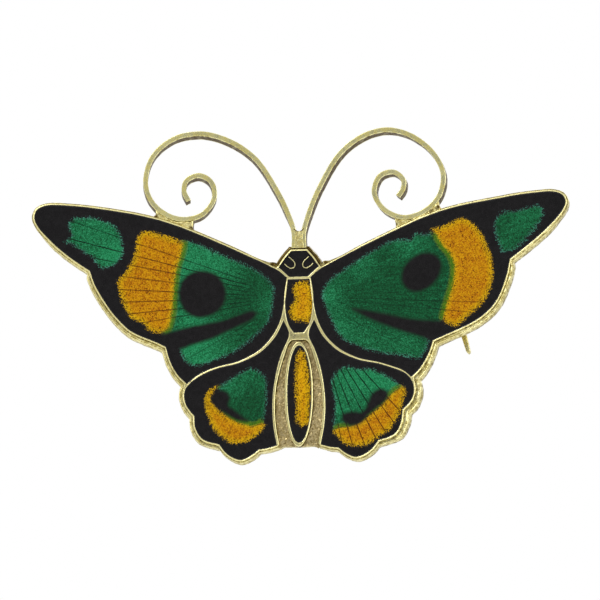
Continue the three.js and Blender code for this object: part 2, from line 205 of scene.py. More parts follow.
def flat_rings(node, y=None, back=False):
    """The rings round a CAD node's flat faces that look to the front at y, or round those of its back.

    By default y is that of the foremost faces. The back's rings run the same way round as the front's.
    """
    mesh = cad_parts[node].data
    places = np.array([v.co for v in mesh.vertices]) / MM
    if y is None:
        y = places[:, 1].max() if back else places[:, 1].min()
    flat = np.abs(places[:, 1] - y) < 1e-3
    keys = [(round(x, 4), round(z, 4)) for x, _, z in places]
    edges = set()
    for polygon in mesh.polygons:
        numbers = list(polygon.vertices)
        if all(flat[i] for i in numbers) and (back or polygon.normal.y < -0.9):
            ring = [keys[i] for i in (numbers[::-1] if back else numbers)]
            edges.update(zip(ring, ring[1:] + ring[:1]))
    following = {a: b for a, b in sorted(edges) if (b, a) not in edges}
    while following:
        start = next(iter(following))
        ring = [start]
        point = following.pop(start)
        while point != start:
            ring.append(point)
            point = following.pop(point)
        yield ring


def face_outlines(node, y=None, corner=32):
    return [hand_made(smoothed(ring, corner=corner)) for ring in flat_rings(node, y)]


def back_outline(node):
    """The outline of a CAD node's back, without the points that would make two corners of one."""
    ring = next(flat_rings(node, back=True))
    apart = [a for a, b in zip(ring, ring[1:] + ring[:1]) if math.dist(a, b) > NEARLY_SAME]
    return hand_made(smoothed(apart))


def around(points, rings):
    """How often the rings go round each point: 1 where there is material, 0 where there is none."""
    a = np.concatenate(rings)
    b = np.concatenate([np.roll(ring, -1, 0) for ring in rings])
    low, high = np.minimum(a[:, 1], b[:, 1]), np.maximum(a[:, 1], b[:, 1])
    turns = np.zeros(len(points), int)
    order = np.argsort(points[:, 1])
    for start in range(0, len(points), 300):
        chosen = order[start:start + 300]
        p = points[chosen][:, None, :]
        level = (low <= p[..., 1].max()) & (high >= p[..., 1].min())
        c, d = a[level], b[level]
        side = cross(d - c, p - c)
        rising = (c[:, 1] <= p[..., 1]) & (d[:, 1] > p[..., 1]) & (side > 0)
        falling = (c[:, 1] > p[..., 1]) & (d[:, 1] <= p[..., 1]) & (side < 0)
        turns[chosen] = rising.sum(1) - falling.sum(1)
    return turns


def grid_inside(rings, spacing, margin):
    """A grid of points in the material that the rings bound, no nearer to them than the margin."""
    every = np.concatenate(rings)
    low, high = every.min(0), every.max(0)
    columns = np.arange(low[0], high[0], spacing)
    rows = np.arange(low[1], high[1], spacing * 0.87)
    points = np.array([(x + (k % 2) * spacing / 2, z) for k, z in enumerate(rows) for x in columns])
    points = points[around(points, rings) > 0]
    tree = kdtree.KDTree(len(every))
    for i, point in enumerate(every):
        tree.insert((point[0], point[1], 0), i)
    tree.balance()
    return np.array([p for p in points if tree.find((p[0], p[1], 0))[2] > margin]).reshape(-1, 2)


def signed_distance(points, outlines):
    """How far each point is inside the nearest of the outlines, negative outside them all."""
    best = np.full(len(points), FAR_OUT)
    for outline in outlines:
        a, b = outline, np.roll(outline, -1, 0)
        along = b - a
        for start in range(0, len(points), 2000):
            p = points[start:start + 2000, None, :]
            t = np.clip(((p - a) * along).sum(2) / (along**2).sum(1), 0, 1)
            near = np.linalg.norm(p - a - t[..., None] * along, axis=2).min(1)
            sign = np.where(around(p[:, 0], [outline]) != 0, 1, -1)
            best[start:start + 2000] = np.maximum(best[start:start + 2000], sign * near)
    return best


# ---- Meshes ----


class Skin:
    """A mesh in the making, with a value at each vertex: 0 is bare gilt, 1 is dark with patina and painted
    shade, and below 0 is paler with a painted highlight.
    """

    def __init__(self):
        self.rows = []
        self.patina_and_painted_light = []
        self.faces = []
        self.count = 0

    def row(self, flat, y, patina_and_painted_light=0.0):
        self.rows.append(np.column_stack([flat[:, 0], np.broadcast_to(y, len(flat)), flat[:, 1]]))
        self.patina_and_painted_light.append(np.broadcast_to(patina_and_painted_light, len(flat)))
        self.count += len(flat)
        return np.arange(self.count - len(flat), self.count)

    def band(self, rows):
        """Faces between rows that follow each other from the front, round the outside, to the back."""
        for a, b in zip(rows, rows[1:]):
            a2, b2 = np.roll(a, -1), np.roll(b, -1)
            self.faces.extend(zip(a, b, b2, a2))

    def fill(self, rings, y, spacing=None, back=False, patina_and_painted_light=0.0):
        """The face that the rings of vertices bound, with a grid of vertices in it if a spacing is given."""
        every = np.concatenate(self.rows)
        flat = [every[ring][:, [0, 2]] for ring in rings]
        numbers = np.concatenate(rings)
        points = np.concatenate(flat)
        edges, first = [], 0
        for ring in rings:
            count = len(ring)
            edges.extend((first + i, first + (i + 1) % count) for i in range(count))
            first += count
        if spacing:
            inner = grid_inside(flat, spacing, 0.55 * spacing)
            numbers = np.concatenate([numbers, self.row(inner, y, patina_and_painted_light)])
            points = np.concatenate([points, inner])
        edges = [(a, b) for a, b in edges if np.linalg.norm(points[a] - points[b]) > 1e-5]
        vectors = [Vector(p) for p in points]
        placed, _, triangles, sources, _, _ = delaunay_2d_cdt(vectors, edges, [], 0, 1e-5)
        placed = np.array([tuple(p) for p in placed])
        known = [
            numbers[s[0]] if s else self.row(placed[i:i + 1], y, patina_and_painted_light)[0] for i, s in enumerate(sources)
        ]
        triangles = np.array(triangles)
        corners = placed[triangles]
        wanted = around(corners.mean(1), flat) > 0
        for triangle, corner in zip(triangles[wanted], corners[wanted]):
            left_turn = cross(corner[1] - corner[0], corner[2] - corner[0]) > 0
            face = [known[i] for i in triangle]
            self.faces.append(face if left_turn != back else face[::-1])

    def mesh(self, name):
        """The finished mesh, with vertices at one place joined, and the places in millimetres."""
        places = np.concatenate(self.rows)
        _, first, same = np.unique(np.round(places, 4), axis=0, return_index=True, return_inverse=True)
        same = same.ravel()
        faces = []
        for face in self.faces:
            ring = [int(same[i]) for i in face]
            ring = [v for i, v in enumerate(ring) if v != ring[i - 1]]
            if len(set(ring)) == len(ring) > 2:
                faces.append(ring)
        mesh = bpy.data.meshes.new(name)
        mesh.from_pydata(places[first] * MM, [], faces)
        values(mesh, "patina_and_painted_light", np.concatenate(self.patina_and_painted_light)[first])
        mesh.validate()
        return mesh, places[first]


def values(mesh, name, numbers):
    mesh.attributes.new(name, "FLOAT", "POINT").data.foreach_set("value", np.asarray(numbers, np.float32))


def roughened(mesh, amount, per_mm, where=None):
    """Moves the vertices along their normals by a noise, in millimetres."""
    places = np.array([v.co for v in mesh.vertices]) / MM
    normals = np.array([v.vector for v in mesh.vertex_normals])
    for i, place in enumerate(places):
        if where is None or where(place):
            at = Vector(place) * per_mm
            places[i] = place + normals[i] * amount * (noise.noise(at) + 0.5 * noise.noise(at * 2.3))
    mesh.vertices.foreach_set("co", (places * MM).astype(np.float32).ravel())
    mesh.update()


def piece(name, mesh, body, material, slot, *nodes, sharp=38):
    """Puts a mesh in the scene as a piece of that body, in place of the CAD nodes."""
    mesh.name = name
    mesh.shade_smooth()
    mesh.set_sharp_from_angle(angle=math.radians(sharp))
    mesh.materials.clear()
    mesh.materials.append(material)
    thing = bpy.data.objects.new(f"fine_{name}", mesh)
    bpy.context.scene.collection.objects.link(thing)
    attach(thing, body)
    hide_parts(*nodes)
    return thing


def rounded_edge(radius, steps=3):
    """(inset, depth) pairs round a quarter turn, from the face to the side."""
    angles = [math.pi / 2 * k / steps for k in range(steps + 1)]
    return [(radius * (1 - math.sin(a)), radius * (1 - math.cos(a))) for a in angles]


def plate(outlines, front, back, radius, back_radius=None, spacing=0.15, side=1.0, face=0.0, edge=-0.25):
    """A plate with rounded edges. Side and face are values of patina and painted light, painted shade above
    0 and a painted highlight below it, and edge is what the rounding adds to face.
    """
    skin = Skin()
    back_radius = radius if back_radius is None else back_radius
    fronts, backs = [], []
    for outline in outlines:
        rows = [
            skin.row(outline.moved(i), front + d, face + edge * d / radius) for i, d in rounded_edge(radius)
        ]
        for share in (0.15, 0.5, 0.85):
            depth = front + radius + share * (back - front - radius - back_radius)
            rows.append(skin.row(outline.points, depth, side))
        for inset, depth in reversed(rounded_edge(back_radius)):
            rows.append(skin.row(outline.moved(inset), back - depth, min(side, 0.3)))
        skin.band(rows)
        fronts.append(rows[0])
        backs.append(rows[-1])
    skin.fill(fronts, front, spacing, patina_and_painted_light=face)
    skin.fill(backs, back, spacing, back=True, patina_and_painted_light=min(side, 0.3))
    return skin


# ---- Node materials ----


def colour(red, green, blue):
    """An sRGB colour from 0 to 255, as the linear colour that a shader takes."""
    return tuple(((c / 255 + 0.055) / 1.055) ** 2.4 for c in (red, green, blue)) + (1,)


class Shader:
    """A material with a Principled shader, and one short call for each node behind it."""

    def __init__(self, name, **settings):
        self.material = bpy.data.materials.new(name)
        self.material.use_nodes = True
        self.tree = self.material.node_tree
        self.principled = self.tree.nodes["Principled BSDF"]
        for key, value in settings.items():
            self.principled.inputs[key.replace("_", " ")].default_value = value

    def put(self, socket, value):
        if isinstance(value, bpy.types.NodeSocket):
            self.tree.links.new(value, socket)
        elif value is not None:
            socket.default_value = value

    def set(self, name, value):
        self.put(self.principled.inputs[name], value)

    def node(self, kind, inputs=(), **settings):
        node = self.tree.nodes.new("ShaderNode" + kind)
        for key, value in settings.items():
            setattr(node, key, value)
        for name, value in dict(inputs).items():
            self.put(node.inputs[name], value)
        return node

    def math(self, operation, a, b=None, clamp=False):
        return self.node("Math", {0: a, 1: b}, operation=operation, use_clamp=clamp).outputs[0]

    def place(self):
        """The place on the object, in millimetres."""
        return self.scaled(self.node("TexCoord").outputs["Object"], (1 / MM,) * 3)

    def scaled(self, vector, factors):
        return self.node("VectorMath", {0: vector, 1: factors}, operation="MULTIPLY").outputs[0]

    def point_value(self, name):
        return self.node("Attribute", attribute_name=name).outputs["Fac"]

    def point_vector(self, name):
        return self.node("Attribute", attribute_name=name).outputs["Vector"]

    def noise(self, vector, per_mm, detail=2.0, roughness=0.5):
        inputs = {"Vector": vector, "Scale": per_mm, "Detail": detail, "Roughness": roughness}
        return self.node("TexNoise", inputs).outputs["Fac"]

    def ramp(self, value, low, high, to_low=0.0, to_high=1.0):
        inputs = {"Value": value, "From Min": low, "From Max": high, "To Min": to_low, "To Max": to_high}
        return self.node("MapRange", inputs, interpolation_type="SMOOTHSTEP").outputs["Result"]

    def mix(self, factor, a, b, blend_type="MIX"):
        node = self.node("Mix", data_type="RGBA", blend_type=blend_type)
        for socket, value in ((node.inputs[0], factor), (node.inputs[6], a), (node.inputs[7], b)):
            self.put(socket, value)
        return node.outputs[2]

    def bump(self, height, distance_mm, strength=1.0):
        inputs = {"Height": height, "Distance": distance_mm * MM, "Strength": strength}
        self.set("Normal", self.node("Bump", inputs).outputs[0])


def gilt_material(name, pale, deep, dark, roughness, grain, pits, bump, brushed=(1, 1, 1)):
    """Gilding with a mottled grain, dark pits, patina with painted shade where the vertex value is high, and
    a painted highlight where it is below 0.
    """
    shader = Shader(name, Metallic=1.0)
    place = shader.scaled(shader.place(), brushed)
    mottle = shader.noise(place, grain, 3, 0.6)
    specks = shader.noise(place, grain * 2.1, 2, 0.6)
    cloud = shader.noise(shader.place(), 0.35, 2)
    drift = shader.ramp(cloud, 0.3, 0.7, -0.2, 0.2)
    tone = shader.math("ADD", shader.ramp(mottle, 0.36, 0.64), drift, clamp=True)
    bare = shader.mix(tone, deep, pale)
    # Painted highlight: below 0 the vertex value mixes the colour towards a pale gilt.
    painted_highlight = shader.ramp(shader.point_value("patina_and_painted_light"), -0.02, -0.25)
    bare = shader.mix(shader.math("MULTIPLY", painted_highlight, 0.6), bare, colour(252, 243, 180))
    pitted = shader.ramp(specks, pits, pits + 0.12)
    # Patina with painted shade: the vertex value, varied by the mottle, and the pits darken the colour.
    shade_and_patina = shader.math("ADD", shader.point_value("patina_and_painted_light"), shader.ramp(mottle, 0.3, 0.7, 0.22, -0.22))
    dark_share = shader.math("MAXIMUM", shader.ramp(shade_and_patina, 0.12, 1.0), pitted)
    shader.set("Base Color", shader.mix(dark_share, bare, dark))
    shader.set("Roughness", shader.ramp(mottle, 0.3, 0.7, roughness + 0.1, roughness - 0.08))
    shader.bump(shader.math("SUBTRACT", mottle, shader.math("MULTIPLY", pitted, 0.6)), bump)
    return shader.material


def enamel_material(name, deep_amber, pale_amber, speckle):
    """Glossy enamel over brushed foil. The mesh holds the patches, as distances inside their edges, and a
    glow value that is the foil's painted sheen.
    """
    shader = Shader(name, Roughness=0.13, Metallic=0.0, Specular_IOR_Level=0.32)
    place = shader.place()
    fan = shader.point_vector("fan")
    stroke = shader.noise(shader.scaled(fan, (6.0, 0.8, 1)), 1, 3, 0.6)
    long_stroke = shader.noise(shader.scaled(fan, (3.0, 0.25, 1)), 1, 2)
    grain = shader.noise(place, 9.0, 2, 0.65)
    coarse = shader.noise(place, 2.2, 3, 0.6)
    near_edge = shader.ramp(shader.point_value("yellow"), 0.7, 0.0, 0.0, 0.09)

    ragged = shader.math(
        "ADD", shader.ramp(stroke, 0.25, 0.75, -0.16, 0.12), shader.ramp(grain, 0.25, 0.75, -0.3, 0.26)
    )
    green_edge = shader.math("ADD", shader.math("SUBTRACT", shader.point_value("green"), 0.04), ragged)
    is_green = shader.ramp(green_edge, -0.12, 0.18)
    yellow = shader.point_value("yellow")
    calm = shader.ramp(is_green, 0, 1, 0.8, 0.3)
    yellow_edge = shader.math("ADD", yellow, shader.math("MULTIPLY", ragged, calm))
    soft = shader.math("MULTIPLY", is_green, 0.4)
    low = shader.math("SUBTRACT", -0.1, soft)
    high = shader.math("ADD", 0.12, shader.math("MULTIPLY", soft, 0.7))
    is_yellow = shader.ramp(yellow_edge, low, high)

    glow = shader.math("ADD", shader.point_value("glow"), shader.ramp(long_stroke, 0.3, 0.7, -0.07, 0.07))
    glow = shader.math("ADD", glow, shader.ramp(stroke, 0.3, 0.7, -0.1, 0.1))
    glow = shader.math("ADD", glow, shader.ramp(grain, 0.3, 0.7, -0.22, 0.22), clamp=True)
    # The green runs from dark to bright with the painted sheen, and the lighter flecks come where it is
    # strong.
    green = shader.mix(glow, colour(12, 60, 32), colour(26, 118, 72))
    fleck = shader.math("MULTIPLY", shader.ramp(grain, 0.54, 0.64), shader.ramp(glow, 0.15, 0.9))
    green = shader.mix(shader.math("MULTIPLY", fleck, 0.8), green, colour(52, 144, 100))
    pit = shader.ramp(grain, 0.37, 0.46, 0.7, 0.0)
    green = shader.mix(pit, green, colour(6, 32, 20))
    fringe = shader.math("MULTIPLY", shader.ramp(green_edge, 0.55, 0.0), shader.ramp(grain, 0.5, 0.62))
    green = shader.mix(shader.math("MULTIPLY", fringe, 0.6), green, colour(84, 140, 134))

    amber = shader.mix(shader.ramp(coarse, 0.3, 0.7), deep_amber, pale_amber)
    amber = shader.mix(shader.ramp(yellow, 0.9, 0.1, 0.0, 0.75), amber, colour(192, 154, 4))
    amber = shader.mix(shader.ramp(grain, 0.5, 0.64, 0.0, 0.5), amber, colour(212, 168, 22))
    specked = shader.math("SUBTRACT", grain, near_edge)
    crowded = shader.ramp(coarse, 0.66, 0.4, 0.55, 1.0)
    speck = shader.math("MULTIPLY", shader.ramp(specked, speckle, speckle - 0.07), crowded)
    amber = shader.mix(speck, amber, colour(60, 34, 2))

    black = shader.mix(shader.ramp(coarse, 0.3, 0.7), colour(20, 19, 20), colour(26, 25, 26))
    paint = shader.mix(is_green, black, green)
    not_yellow = shader.math("SUBTRACT", 1.0, is_yellow)
    overlap = shader.math("MULTIPLY", shader.math("MULTIPLY", is_yellow, not_yellow), 3.2)
    paint = shader.mix(is_yellow, paint, amber)
    paint = shader.mix(shader.math("MULTIPLY", overlap, is_green), paint, colour(44, 104, 16))
    painted = shader.math("MAXIMUM", is_green, is_yellow)
    vein_line = shader.math("MULTIPLY", vein_darkness(shader, stroke), painted)
    paint = shader.mix(vein_line, paint, shader.mix(is_yellow, colour(6, 34, 20), colour(78, 40, 3)))
    ink_edge = shader.math("ADD", shader.point_value("ink"), shader.math("MULTIPLY", ragged, 0.35))
    paint = shader.mix(shader.ramp(ink_edge, -0.42, 0.22), paint, black)
    shader.set("Base Color", paint)
    shader.bump(shader.noise(place, 0.5, 1), 0.02, 0.5)
    return shader.material


def vein_darkness(shader, stroke):
    """1 on the fine lines that are cut in the foil and 0 between them."""
    phase = shader.point_value("vein_phase")
    part = shader.math("FRACT", shader.math("ADD", phase, 0.5))
    away = shader.math("ABSOLUTE", shader.math("SUBTRACT", part, 0.5))
    distance = shader.math("MULTIPLY", away, shader.point_value("vein_spacing"))
    wander = shader.ramp(stroke, 0.3, 0.7, -0.02, 0.02)
    line = shader.ramp(shader.math("ADD", distance, wander), 0.09, 0.025)
    return shader.math("MULTIPLY", line, shader.point_value("vein_strength"))


gilt = gilt_material(
    "gilt", colour(236, 227, 168), colour(192, 178, 106), colour(92, 74, 34), 0.34, 2.6, 0.62, 0.03
)
# Its dark colour paints the wires' pits and the painted shade on their sides.
gilt_wire = gilt_material(
    "gilt_wire", colour(250, 244, 184), colour(216, 205, 134), colour(80, 62, 26), 0.4, 2.0, 0.7, 0.014
)
gilt_solder = gilt_material(
    "gilt_solder", colour(250, 240, 172), colour(196, 178, 104), colour(88, 68, 28), 0.4, 3.2, 0.62, 0.04
)
gilt_ground = gilt_material(
    "gilt_ground", colour(206, 188, 140), colour(160, 142, 94), colour(96, 80, 50), 0.46, 5.0, 0.62, 0.01
)
gilt_back = gilt_material(
    "gilt_back", colour(214, 202, 138), colour(190, 176, 110), colour(110, 96, 56), 0.36, 5.0, 0.72, 0.006,
    brushed=(0.07, 1, 2),
)
gilt_polished = gilt_material(
    "gilt_polished", colour(226, 216, 156), colour(200, 187, 122), colour(96, 82, 46), 0.26, 1.8, 0.74, 0.004
)
enamel = enamel_material("enamel", colour(163, 96, 0), colour(181, 123, 0), 0.44)
enamel_body = enamel_material("enamel_body", colour(182, 120, 0), colour(206, 154, 0), 0.465)


# ---- The enamel's patches ----

FOREWING_LEFT = {
    "green": [
        [(-26.5, 8.7), (-25.7, 9.2), (-26.0, 10.4), (-25.7, 11.1), (-24.3, 11.3), (-22.8, 11.1),
         (-21.2, 10.4), (-20.3, 9.5), (-19.9, 8.2), (-20.0, 6.7), (-20.9, 5.8), (-22.3, 5.4), (-23.2, 6.5),
         (-24.6, 7.5)],
        [(-14.2, 8.0), (-12.9, 8.3), (-11.8, 8.0), (-8.4, 6.4), (-5.2, 4.9), (-3.9, 4.0), (-3.0, 2.9),
         (-3.0, 1.0), (-3.5, -1.2), (-5.0, -2.8), (-7.3, -4.5), (-9.2, -5.3), (-11.6, -6.0), (-12.6, -5.6),
         (-13.4, -4.4), (-13.7, -3.8), (-15.4, -2.2), (-15.2, 2.0), (-14.6, 5.5)],
    ],
    "yellow": [
        [(-18.0, 9.2), (-17.3, 9.5), (-15.6, 9.1), (-13.9, 8.5), (-12.9, 8.1), (-13.1, 6.9), (-13.7, 5.0),
         (-14.0, 2.2), (-14.2, 0.0), (-14.8, -1.9), (-15.9, -2.1), (-16.8, -1.9), (-17.6, -1.0),
         (-19.0, -0.2), (-19.7, 1.0), (-20.3, 2.7), (-20.5, 3.8), (-19.8, 4.7), (-19.0, 5.8), (-18.5, 7.3),
         (-18.4, 8.4)],
    ],
    "ink": [
        [(-13.5, 2.2), (-13.1, 3.7), (-11.9, 4.6), (-10.3, 4.6), (-9.0, 3.8), (-8.4, 2.4), (-8.7, 0.9),
         (-9.8, -0.1), (-11.5, -0.4), (-12.9, 0.4)],
        [(-15.6, -2.4), (-12.9, -1.7), (-10.6, -1.3), (-8.6, -1.0), (-6.8, -0.4), (-5.4, 0.0), (-4.9, -0.2),
         (-5.4, -0.8), (-6.6, -1.4), (-8.2, -2.1), (-9.7, -2.8), (-11.8, -3.4), (-14.4, -4.0)],
    ],
    "fan": (-0.6, 1.5),
    "veins": [(35, 0.5), (29, 0.55), (23.5, 0.4), (18, 0.5), (13, 0.35), (8, 0.75), (4.2, 0.9), (0, 0.85),
              (-4.2, 0.9), (-8.6, 0.75), (-12.8, 0.85), (-16.3, 1.0), (-20.5, 0.75), (-26, 0.1)],
    "glow": [(-13.5, 6.0, 3.6, 0.8), (-9.0, 5.8, 2.6, 0.5), (-11.5, -4.6, 3.2, 0.9),
             (-12.3, -0.6, 2.0, 0.6), (-23.0, 9.3, 3.5, 0.55), (-21.0, 6.8, 1.5, 0.8),
             (-3.4, 1.0, 1.4, 0.3)],
}

FOREWING_RIGHT = {
    "green": [
        [(21.8, 9.4), (22.4, 10.3), (24.3, 10.6), (25.9, 11.0), (26.8, 11.1), (27.2, 10.5), (27.0, 9.4),
         (26.0, 8.1), (24.9, 6.9), (23.6, 6.0), (22.5, 6.0), (22.1, 7.2), (21.8, 8.2)],
        [(2.5, 1.7), (2.9, 2.8), (3.6, 3.6), (5.4, 4.8), (7.2, 6.0), (9.0, 7.0), (10.1, 7.5), (11.4, 7.7),
         (12.3, 7.6), (13.1, 8.4), (14.0, 8.2), (15.4, 8.4), (17.5, 6.2), (17.7, 3.0), (16.8, -0.4),
         (15.7, -1.9), (13.8, -2.8), (14.4, -3.9), (13.9, -5.2), (13.2, -5.8), (11.6, -5.5), (9.2, -5.1),
         (6.7, -4.4), (4.6, -3.2), (3.5, -1.2), (2.7, 0.7)],
    ],
    "yellow": [
        [(14.8, 8.7), (16.6, 9.3), (17.9, 9.9), (18.9, 9.6), (20.1, 8.4), (20.9, 6.8), (21.5, 5.0),
         (21.6, 3.4), (21.2, 1.6), (20.2, 0.0), (18.8, -1.2), (17.4, -2.3), (16.5, -2.0), (15.9, -1.5),
         (16.3, 0.4), (16.9, 2.4), (17.1, 4.5), (16.7, 5.7), (15.7, 7.0)],
    ],
    "ink": [
        [(13.7, 6.0), (15.0, 5.8), (15.7, 5.0), (15.6, 3.8), (15.0, 2.8), (14.1, 2.1), (13.0, 1.8),
         (12.1, 2.1), (11.5, 3.0), (11.6, 4.2), (12.4, 5.3)],
        [(5.9, 0.0), (7.5, -0.3), (9.8, -0.8), (12.4, -1.4), (15.9, -1.8), (16.2, -3.6), (14.6, -3.6),
         (12.3, -2.9), (9.6, -1.9), (7.6, -1.0)],
    ],
    "fan": (0.6, 1.5),
    "veins": [(-34, 0.2), (-28, 0.25), (-22, 0.2), (-16, 0.2), (-11.5, 0.2), (-7, 0.6), (-3.4, 0.55),
              (1, 0.12), (6, 0.1), (11, 0.1), (15.6, 0.12), (20, 0.1)],
    "glow": [(3.0, 1.6, 1.5, 0.6), (4.2, -2.0, 1.8, 0.4), (6.5, 5.2, 1.9, 0.35), (12.3, 7.2, 1.7, 0.45),
             (11.8, -4.6, 2.6, 0.32), (7.2, -3.6, 2.2, 0.3), (25.4, 9.8, 2.4, 0.2), (23.0, 7.2, 1.6, 0.15)],
}

HINDWING_LEFT = {
    "green": [
        [(-9.2, -8.4), (-8.4, -8.0), (-7.4, -7.3), (-6.5, -6.8), (-5.5, -6.4), (-4.5, -6.8), (-3.8, -7.6),
         (-3.7, -9.5), (-3.8, -11.2), (-4.2, -12.8), (-5.6, -13.2), (-7.3, -12.6), (-8.6, -11.4),
         (-9.2, -10.0), (-9.0, -9.0)],
    ],
    "yellow": [
        [(-9.2, -8.3), (-10.0, -8.6), (-10.6, -9.6), (-10.6, -10.6), (-10.1, -12.3), (-9.3, -13.6),
         (-8.2, -14.5), (-7.0, -14.9), (-5.8, -14.6), (-4.6, -13.9), (-3.9, -12.8), (-4.3, -12.5),
         (-5.2, -12.8), (-6.9, -12.3), (-8.4, -11.4), (-9.4, -10.7), (-10.0, -9.9), (-9.7, -9.0)],
    ],
    "ink": [
        [(-9.4, -9.3), (-8.8, -8.9), (-8.2, -9.1), (-7.9, -9.8), (-8.1, -10.5), (-7.2, -11.3),
         (-6.3, -12.0), (-5.9, -12.3), (-6.6, -12.3), (-7.7, -11.8), (-8.8, -11.0), (-9.6, -10.2)],
    ],
    "fan": (-1.5, -0.6),
    "veins": [(43.6, 0.1), (49, 0.15), (54, 0.2), (59, 0.25), (63.7, 0.45), (68.8, 0.2), (73.5, 0.3),
              (77.5, 0.1)],
    "glow": [(-8.3, -8.3, 1.4, 0.5), (-6.0, -6.9, 1.6, 0.3), (-4.1, -8.6, 1.0, 0.15)],
}

HINDWING_RIGHT = {
    "green": [
        [(3.5, -8.8), (3.7, -7.7), (4.2, -6.9), (5.1, -6.5), (6.6, -6.8), (8.0, -6.9), (9.4, -7.5),
         (10.6, -8.3), (11.5, -9.0), (10.2, -10.0), (9.0, -11.2), (7.2, -12.6), (5.4, -13.5), (3.7, -13.6),
         (3.8, -12.0), (3.9, -10.3)],
    ],
    "yellow": [
        [(11.4, -8.8), (11.8, -9.5), (11.5, -10.6), (11.1, -12.0), (10.2, -13.5), (8.9, -14.5),
         (7.6, -15.3), (6.2, -15.5), (4.8, -15.1), (4.2, -14.4), (3.6, -13.8), (4.2, -13.3), (5.8, -13.1),
         (6.9, -12.6), (7.8, -11.8), (8.8, -11.1), (9.7, -10.1), (10.6, -9.3)],
    ],
    "ink": [
        [(7.8, -10.3), (8.2, -9.6), (9.0, -9.2), (9.8, -9.5), (9.6, -10.3), (8.7, -11.1), (7.6, -12.0),
         (6.7, -12.9), (5.5, -13.1), (4.7, -12.5), (4.9, -11.9), (6.0, -11.7), (6.9, -11.8), (7.5, -11.2)],
    ],
    "fan": (1.5, -0.6),
    "veins": [(-80, 0.4), (-77.5, 0.8), (-73.5, 1.0), (-68.8, 1.0), (-63.7, 1.0), (-59, 1.0), (-54, 1.0),
              (-49, 1.0), (-43.6, 0.8)],
    "glow": [(5.0, -8.0, 2.4, 0.5), (8.0, -7.8, 2.4, 0.7), (5.0, -11.5, 2.0, 0.5), (10.2, -8.8, 1.6, 1.0),
             (7.4, -7.2, 1.2, 0.5)],
}

THORAX = {
    "yellow": [
        [(-0.2, 3.2), (0.9, 3.3), (1.4, 2.0), (1.5, 0.0), (1.0, -1.4), (0.2, -1.3), (-0.7, -1.1),
         (-1.1, -0.5), (-1.1, 0.3), (-0.5, 1.2), (-0.6, 1.7), (-0.8, 2.5)],
    ],
    "fan": (0, 12),
}

ABDOMEN = {
    "yellow": [
        [(0.0, -4.5), (0.5, -4.9), (0.9, -6.5), (1.1, -8.5), (1.1, -10.5), (0.9, -12.8), (0.3, -13.1),
         (-0.3, -12.8), (-0.45, -11.0), (-0.55, -8.5), (-0.5, -6.2), (-0.35, -5.1)],
    ],
    "fan": (0, 12),
}


def paint(mesh, places, patches):
    """Stores at the vertices how far inside each patch they are, and the fan that the strokes follow."""
    flat = places[:, [0, 2]] - (PAINT_SHIFT, 0)
    for name in ("green", "yellow", "ink"):
        outlines = [smoothed(points, spacing=0.3, corner=70).points for points in patches.get(name, [])]
        distance = signed_distance(flat, outlines) if outlines else np.full(len(flat), FAR_OUT)
        values(mesh, name, distance)
    centre = np.array(patches.get("fan", (0, 12)))
    away = flat - centre
    reach = np.linalg.norm(away, axis=1)
    facing = math.copysign(1, flat[:, 0].mean())
    if "veins" in patches:
        angle = np.arctan2(away[:, 1], away[:, 0] * facing)
    else:
        angle = np.arctan2(away[:, 0], -away[:, 1])
    fan = np.column_stack([angle * FAN_TURN, reach, np.zeros(len(flat))])
    stored = mesh.attributes.new("fan", "FLOAT_VECTOR", "POINT")
    stored.data.foreach_set("vector", fan.astype(np.float32).ravel())
    # The glow value is a painted sheen of the foil under the enamel, brighter round the listed spots.
    glow = np.full(len(flat), 0.12)
    for x, z, size, amount in patches.get("glow", []):
        glow += amount * np.exp(-(((flat - (x, z)) ** 2).sum(1)) / size**2)
    values(mesh, "glow", glow)
    degrees = np.degrees(angle) * facing
    veins = sorted(patches.get("veins", [(-90, 0), (90, 0)]))
    at, strength = np.array(veins).T
    phase = np.interp(degrees, at, np.arange(len(at)), left=-0.5, right=len(at) - 0.5)
    step = np.diff(at)[np.clip(np.searchsorted(at, degrees) - 1, 0, len(at) - 2)]
    values(mesh, "vein_phase", phase)
    values(mesh, "vein_spacing", reach * np.radians(step))
    faded = np.clip((reach - 3.2) / 3, 0, 1)
    values(mesh, "vein_strength", faded * strength[np.clip(np.round(phase).astype(int), 0, len(at) - 1)])


def enamel_piece(name, cell, patches, slot, spacing):
    """One cell's enamel: a level surface that climbs a little at the walls, and straight sides."""
    skin = Skin()
    surface = RIM_FRONT + ENAMEL_DEPTH
    rows = [
        skin.row(cell.moved(inset), surface - rise)
        for inset, rise in ((0.3, 0.0), (0.16, 0.004), (0.08, 0.016), (0.03, 0.034), (0.012, 0.045))
    ]
    floor = RIM_FRONT + CELL_DEPTH - ENAMEL_GAP
    rows.append(skin.row(cell.moved(0.012), floor))
    skin.band(rows)
    skin.fill(rows[:1], surface, spacing)
    skin.fill(rows[-1:], floor, back=True)
    mesh, places = skin.mesh(name)
    paint(mesh, places, patches)
    piece(name, mesh, "brooch", enamel_body if slot == "enamel_amber" else enamel, slot, name)


# ---- The tray ----


def along_scallops(points):
    """1 along the scallops and 0 above and below them."""
    x, z = points.T
    top = np.where(np.abs(x) > TIPS_FROM, TIPS_TOP, SCALLOPS_TOP)
    return np.minimum(np.clip((top + 0.6 - z) / 1.2, 0, 1), np.clip((z - SCALLOPS_FOOT) / 0.5, 0, 1))


def round_head(points):
    """1 round the head and 0 away from it."""
    return np.clip((points[:, 1] - 4.9) / 0.6, 0, 1) * np.clip((3.3 - np.abs(points[:, 0])) / 0.4, 0, 1)


